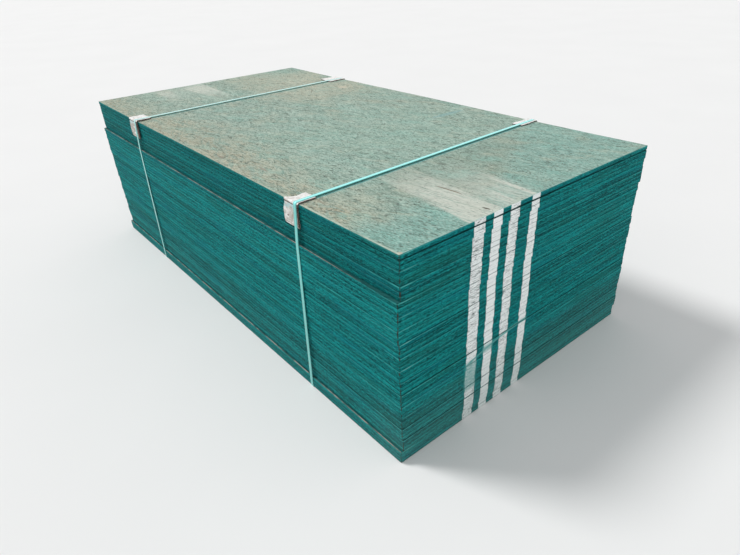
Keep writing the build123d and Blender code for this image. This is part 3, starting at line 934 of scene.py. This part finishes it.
def top_sheet(edge, top, raw):
    """The warped top sheet: both faces are grids that follow the frame's bow."""
    node = panel_name(PANEL_COUNT - 1)
    low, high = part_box(node)
    rng = np.random.default_rng(SEED + PANEL_COUNT)
    xs, ys, rings, states = rough_edge(rng, low, high, SHEET_STEP, True)
    rows, count = rings.shape[:2]
    cad_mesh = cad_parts[node].data
    corners = [v.co for v in cad_mesh.vertices]
    tree = BVHTree.FromPolygons(corners, [p.vertices for p in cad_mesh.polygons])
    upper = sheet_heights(tree, xs, ys, True)
    lower = sheet_heights(tree, xs, ys, False)
    upper -= SHEET_RELIEF * smoothed(rng.uniform(0, 1, upper.shape), 1)

    # The edge's rings, then both faces inside them
    on_rim = rim_places(len(xs), len(ys))
    rings[..., 2] = upper[on_rim] + np.array(ROW_DEPTHS)[:, None] * (lower - upper)[on_rim]
    points = rings.reshape(-1, 3)
    faces, slots = [], []
    for slot, heights, ring in ((1, upper, 0), (2, lower, rows - 1)):
        grid = np.stack([*np.meshgrid(xs, ys, indexing="ij"), heights], -1)[1:-1, 1:-1]
        numbers = np.empty(heights.shape, int)
        numbers[on_rim] = ring * count + np.arange(count)
        numbers[1:-1, 1:-1] = len(points) + np.arange(grid[..., 0].size).reshape(grid.shape[:2])
        points = np.concatenate([points, grid.reshape(-1, 3)])
        quads = grid_faces(numbers, turned=slot == 2)
        faces += quads
        slots += [slot] * len(quads)
    sides = side_faces(rows, count)
    slots += [0] * len(sides)
    board = make_object("board_48", points, faces + sides, (edge, top, raw), slots)
    carry_states(board, states, SHEET_TONE, low.y + SHEET_STRIPE_SHIFT)
    return board


def stretched(lines, count):
    """A field's lines, each drawn out to this many values."""
    size = lines.shape[1]
    places = np.linspace(0, size - 1, count)
    return np.array([np.interp(places, np.arange(size), line) for line in lines])


def rumpled(rng, shape, cell):
    """A smooth uneven field from -1 to 1, with bumps of about this many steps."""
    coarse = rng.uniform(-1, 1, (shape[0] // cell + 2, shape[1] // cell + 2))
    return smoothed(stretched(stretched(coarse, shape[1]).T, shape[0]).T, 3)


def board_section(inner_out, top_end, side_leg, flare):
    """Middle line of a protector's section: distance out, height and outward normal, in order
    from the top leg's end over the bend to the side leg's foot."""
    tilt = atan2(flare, side_leg)
    half = BOARD_THICKNESS / 2
    hub_out, hub_z = inner_out + half - BEND_RADIUS, INNER_TOP + half - BEND_RADIUS
    line = []
    for out in np.linspace(top_end, hub_out, int((hub_out - top_end) / BOARD_STEP) + 1):
        line.append((out, hub_z + BEND_RADIUS, 0, 1))
    for turn in np.linspace(pi / 2, tilt, 7)[1:]:
        normal = (cos(turn), sin(turn))
        line.append((hub_out + BEND_RADIUS * normal[0], hub_z + BEND_RADIUS * normal[1], *normal))
    out, z = line[-1][:2]
    drop = z - (LEG_FOOT - side_leg)
    for share in np.linspace(0, 1, int(drop / BOARD_STEP) + 1)[1:]:
        line.append((out + share * drop * flare / side_leg, z - share * drop, cos(tilt), sin(tilt)))
    return np.array(line)


def bowed(points, inner_out, pressed, share, reach, lift):
    """Section points carried along the strap's bow, turned about its axis: how far they are from
    the strap's middle, how far out, and how high."""
    length = reach - pressed
    radius = (length**2 + lift**2) / (2 * lift)
    turn = share * asin(length / radius)
    out, z = points[:, 0] - inner_out, points[:, 1] - INNER_TOP
    bisector, square = (out + z) / 2**0.5, (out - z) / 2**0.5
    arm = radius - bisector
    bisector = radius - arm * np.cos(turn)
    out, z = (bisector + square) / 2**0.5, (bisector - square) / 2**0.5
    return pressed + arm * np.sin(turn), out + inner_out, z + INNER_TOP


def protector_columns(rng, count, bend, pressed, reaches, torn):
    """Columns of a protector's points, far to near: the way out from the strap, and each point's
    share of the reach, or under the strap its distance from the middle."""
    along = np.linspace(0, 1, count)
    table = [np.linspace(0, bend / count, 5), np.linspace(bend / count, 1, 6)[1:]]
    columns = []
    for way, reach, tear in zip((-1, 1), reaches, torn):
        steps = max(int((reach - pressed) / BOARD_STEP), 4)
        ragged = np.interp(along, np.concatenate(table), tear) + knots(rng, along, *FRAY)
        limit = np.clip(1 - ragged / (reach - pressed), 0.1, 1)
        wing = [(way, share * limit) for share in np.linspace(0, 1, steps + 1)[1:]]
        columns += wing[::-1] if way < 0 else wing
        if way < 0:
            flat = np.linspace(-pressed, pressed, int(2 * pressed / BOARD_STEP))
            columns += [(0, np.full(count, off)) for off in flat]
    return columns


def eased(values, rounds):
    """Evens out a line of values a few times."""
    return smoothed(np.tile(values, (3, 1)), rounds)[1]


def rumples(rng, columns, from_bend, side):
    """How far each point stands out of the plain section, and the painted shade of its crease:
    rumples grow away from the strap, and the front bends stand up in a bump on the far way."""
    shape = (len(from_bend), len(columns))
    free = eased([abs(way) for way, _ in columns], 6)
    field = 0.75 * rumpled(rng, shape, 9) + 0.35 * rumpled(rng, shape, 4)
    offset = field * free * RUMPLE_HEIGHT
    bump = np.exp(-((from_bend - BUMP_AT) / BUMP_WIDTH) ** 2)
    crease = np.exp(-((from_bend - CREASE_AT) / CREASE_WIDTH) ** 2)
    far_way = eased([way < 0 for way, _ in columns], 8)
    if side < 0:
        offset += np.outer(bump * BUMP_HEIGHT - crease * CREASE_DEPTH, far_way)
        curled = np.array([np.mean(share) if way > 0 else 0 for way, share in columns])
        toward_foot = unit(from_bend / from_bend[-1])
        curl = np.outer(CURL + CURL_AT_FOOT * toward_foot, curled**1.3)
        offset += curl * (np.abs(from_bend) > 3)[:, None]
    return offset, np.outer(crease * (side < 0), far_way)


def painted_wing_shade(rng, columns, from_bend, side):
    """Painted shade on the front protectors' outer paper, in the dark brown of the cut edges:
    beside the strap and at the near end.
    """
    past_strap = [way > 0 or (way == 0 and np.mean(share) > STRAP_HALF) for way, share in columns]
    last = np.arange(len(columns)) >= len(columns) - SHADED_END_COLUMNS
    on_side = unit((from_bend - 3) / 3) * unit((from_bend[-1] - from_bend) / 4)
    wing_shade = np.outer(on_side, past_strap) + np.outer(from_bend < -3, last)
    return wing_shade * (side < 0) * rng.uniform(*WING_SHADE_RANGE, wing_shade.shape)


def protector(node, seed, board):
    """One crumpled and frayed edge protector, round the bowed angle of the frame."""
    side, middle, pressed, reaches, lifts, torn = PROTECTORS[node]
    rng = np.random.default_rng(seed)
    section = board_section(*LEGS[side])
    count = len(section)
    bend = int(np.argmin(np.abs(section[:, 2] - section[:, 3])))
    from_bend = (np.arange(count) - bend) * BOARD_STEP
    columns = protector_columns(rng, count, bend, pressed, reaches, torn)
    width = len(columns)
    offset, creased = rumples(rng, columns, from_bend, side)

    # Both papers, frayed at the legs' ends
    steps = np.arange(width)
    ends = [np.clip(knots(rng, steps, *LEG_FRAY), 0, None) for _ in range(2)]
    outer, inner = np.empty((count, width, 3)), np.empty((count, width, 3))
    for j, (way, share) in enumerate(columns):
        line = section.copy()
        line[:, 0] += ends[0][j] * unit(1 - (from_bend - from_bend[0]) / FRAY_REACH)
        line[:, 1] += ends[1][j] * unit(1 - (from_bend[-1] - from_bend) / FRAY_REACH)
        for half, target in ((1, outer), (-1, inner)):
            out = offset[:, j] + half * BOARD_THICKNESS / 2
            points = line[:, :2] + line[:, 2:] * out[:, None]
            away, out, z = share, *points.T
            if way:
                bow = reaches[way > 0], lifts[way > 0]
                away, out, z = bowed(points, LEGS[side][0], pressed, share, *bow)
                away = way * away
            target[:, j] = np.stack([middle + away, side * out, z], -1)
    low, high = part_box(node)
    for paper in (outer, inner):
        np.clip(paper, np.array(low) / MM, np.array(high) / MM, out=paper)

    # Cut edges: a line of plies sits back between the two papers
    column, row = rim_places(width, count)
    core = (outer + inner) / 2
    rim = core[row, column]
    back = core[np.clip(row, 1, count - 2), np.clip(column, 1, width - 2)] - rim
    back /= np.maximum(np.linalg.norm(back, axis=1), 1e-6)[:, None]
    plies = rim + back * rng.uniform(*PLIES_BACK, (len(rim), 1))
    points = np.concatenate([outer.reshape(-1, 3), inner.reshape(-1, 3), plies]) * MM
    total = count * width
    numbers = np.arange(total).reshape(count, width)
    here, mid = numbers[row, column], 2 * total + np.arange(len(rim))
    there, mid_next = np.roll(here, -1), np.roll(mid, -1)
    cut = [here, there, mid_next, mid, mid, mid_next, there + total, here + total]
    faces = grid_faces(numbers) + grid_faces(numbers + total, turned=True)
    faces += np.stack(cut, -1).reshape(-1, 4).tolist()
    name = node.replace("edge_protector", "protector_board")
    guard = make_object(name, points, faces, (board,), [0] * len(faces))
    mesh = bmesh.new()
    mesh.from_mesh(guard.data)
    bmesh.ops.recalc_face_normals(mesh, faces=mesh.faces)
    mesh.to_mesh(guard.data)
    mesh.free()
    creased = creased.ravel()
    # The crease's painted shade, weaker on the inner paper
    carry(guard, "crease", np.concatenate([creased, creased * 0.5, np.zeros(len(rim))]))
    # Painted shade on the front wings goes in "cut" with the cut edges
    wing_shade = painted_wing_shade(rng, columns, from_bend, side).ravel()
    carry(guard, "cut", np.concatenate([wing_shade, np.zeros(total), np.ones(len(rim))]))
    return guard


def build_camera():
    """The camera that the photograph was fitted to."""
    heading, dip, roll = CAMERA_HEADING, CAMERA_DIP, CAMERA_ROLL
    ahead = Vector((cos(dip) * cos(heading), cos(dip) * sin(heading), -sin(dip)))
    level = ahead.cross(Vector((0, 0, 1))).normalized()
    upright = level.cross(ahead)
    right = cos(roll) * level + sin(roll) * upright
    up = -sin(roll) * level + cos(roll) * upright
    data = bpy.data.cameras.new("camera")
    data.sensor_width = SENSOR
    data.lens = LENS
    data.shift_x = (PHOTO_WIDTH / 2 - CENTRE_PIXEL[0]) / PHOTO_WIDTH
    data.shift_y = (CENTRE_PIXEL[1] - PHOTO_HEIGHT / 2) / PHOTO_WIDTH
    turn = Matrix((right, up, -ahead)).transposed().to_4x4()
    scene.camera = new_object("camera", data)
    scene.camera.matrix_world = Matrix.Translation(CAMERA_PLACE) @ turn


def build_light():
    """Soft studio light: a pale surround, a wide key from the far left and a weak fill."""
    world = bpy.data.worlds.new("surround")
    scene.world = world
    world.use_nodes = True
    tree = world.node_tree
    tree.nodes.clear()
    rays = add_node(tree, "LightPath", output=None).outputs
    seen = rays["Is Camera Ray"]
    for name in ("Is Glossy Ray", "Is Transmission Ray"):
        seen = add_node(tree, "Math", {0: seen, 1: rays[name]}, operation="MAXIMUM")
    lit = add_node(tree, "Background", {"Color": SURROUND_COLOUR, "Strength": SURROUND_STRENGTH})
    white = add_node(tree, "Background", {"Color": (1, 1, 1, 1), "Strength": 1})
    mixed = add_node(tree, "MixShader", {0: seen, 1: lit, 2: white})
    add_node(tree, "OutputWorld", {"Surface": mixed}, output=None)
    for name, toward, strength, spread in LAMPS:
        data = bpy.data.lights.new(name, "SUN")
        data.energy = strength
        data.angle = radians(spread)
        lamp = new_object(name, data)
        lamp.rotation_mode = "QUATERNION"
        lamp.rotation_quaternion = Vector(toward).to_track_quat("-Z", "Y")


def build_floor():
    """The floor that the stack stands on."""
    half = FLOOR_HALF
    points = [(-half, -half, 0), (half, -half, 0), (half, half, 0), (-half, half, 0)]
    floor = make_object("floor", points, [(0, 1, 2, 3)], (floor_material(),), [0])


def place_piece(piece, node):
    """Makes a piece stand for its node, on the one body."""
    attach(piece, "root")
    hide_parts(node)


scene.view_settings.view_transform = "Standard"
build_camera()
build_light()
build_floor()

edge_paint = edge_material()
raw_wood = raw_material()
for index in range(PANEL_COUNT - 1):
    place_piece(flat_board(index, edge_paint, raw_wood), panel_name(index))
sheet = top_sheet(edge_paint, top_material(), raw_wood)
place_piece(sheet, panel_name(PANEL_COUNT - 1))

strapping = strap_material()
for node in ("strap_near", "strap_far"):
    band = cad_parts[node]
    band.data.materials.clear()
    band.data.materials.append(strapping)
laminate = cardboard_material()
for offset, node in enumerate(PROTECTORS):
    place_piece(protector(node, SEED + 100 + offset, laminate), node)
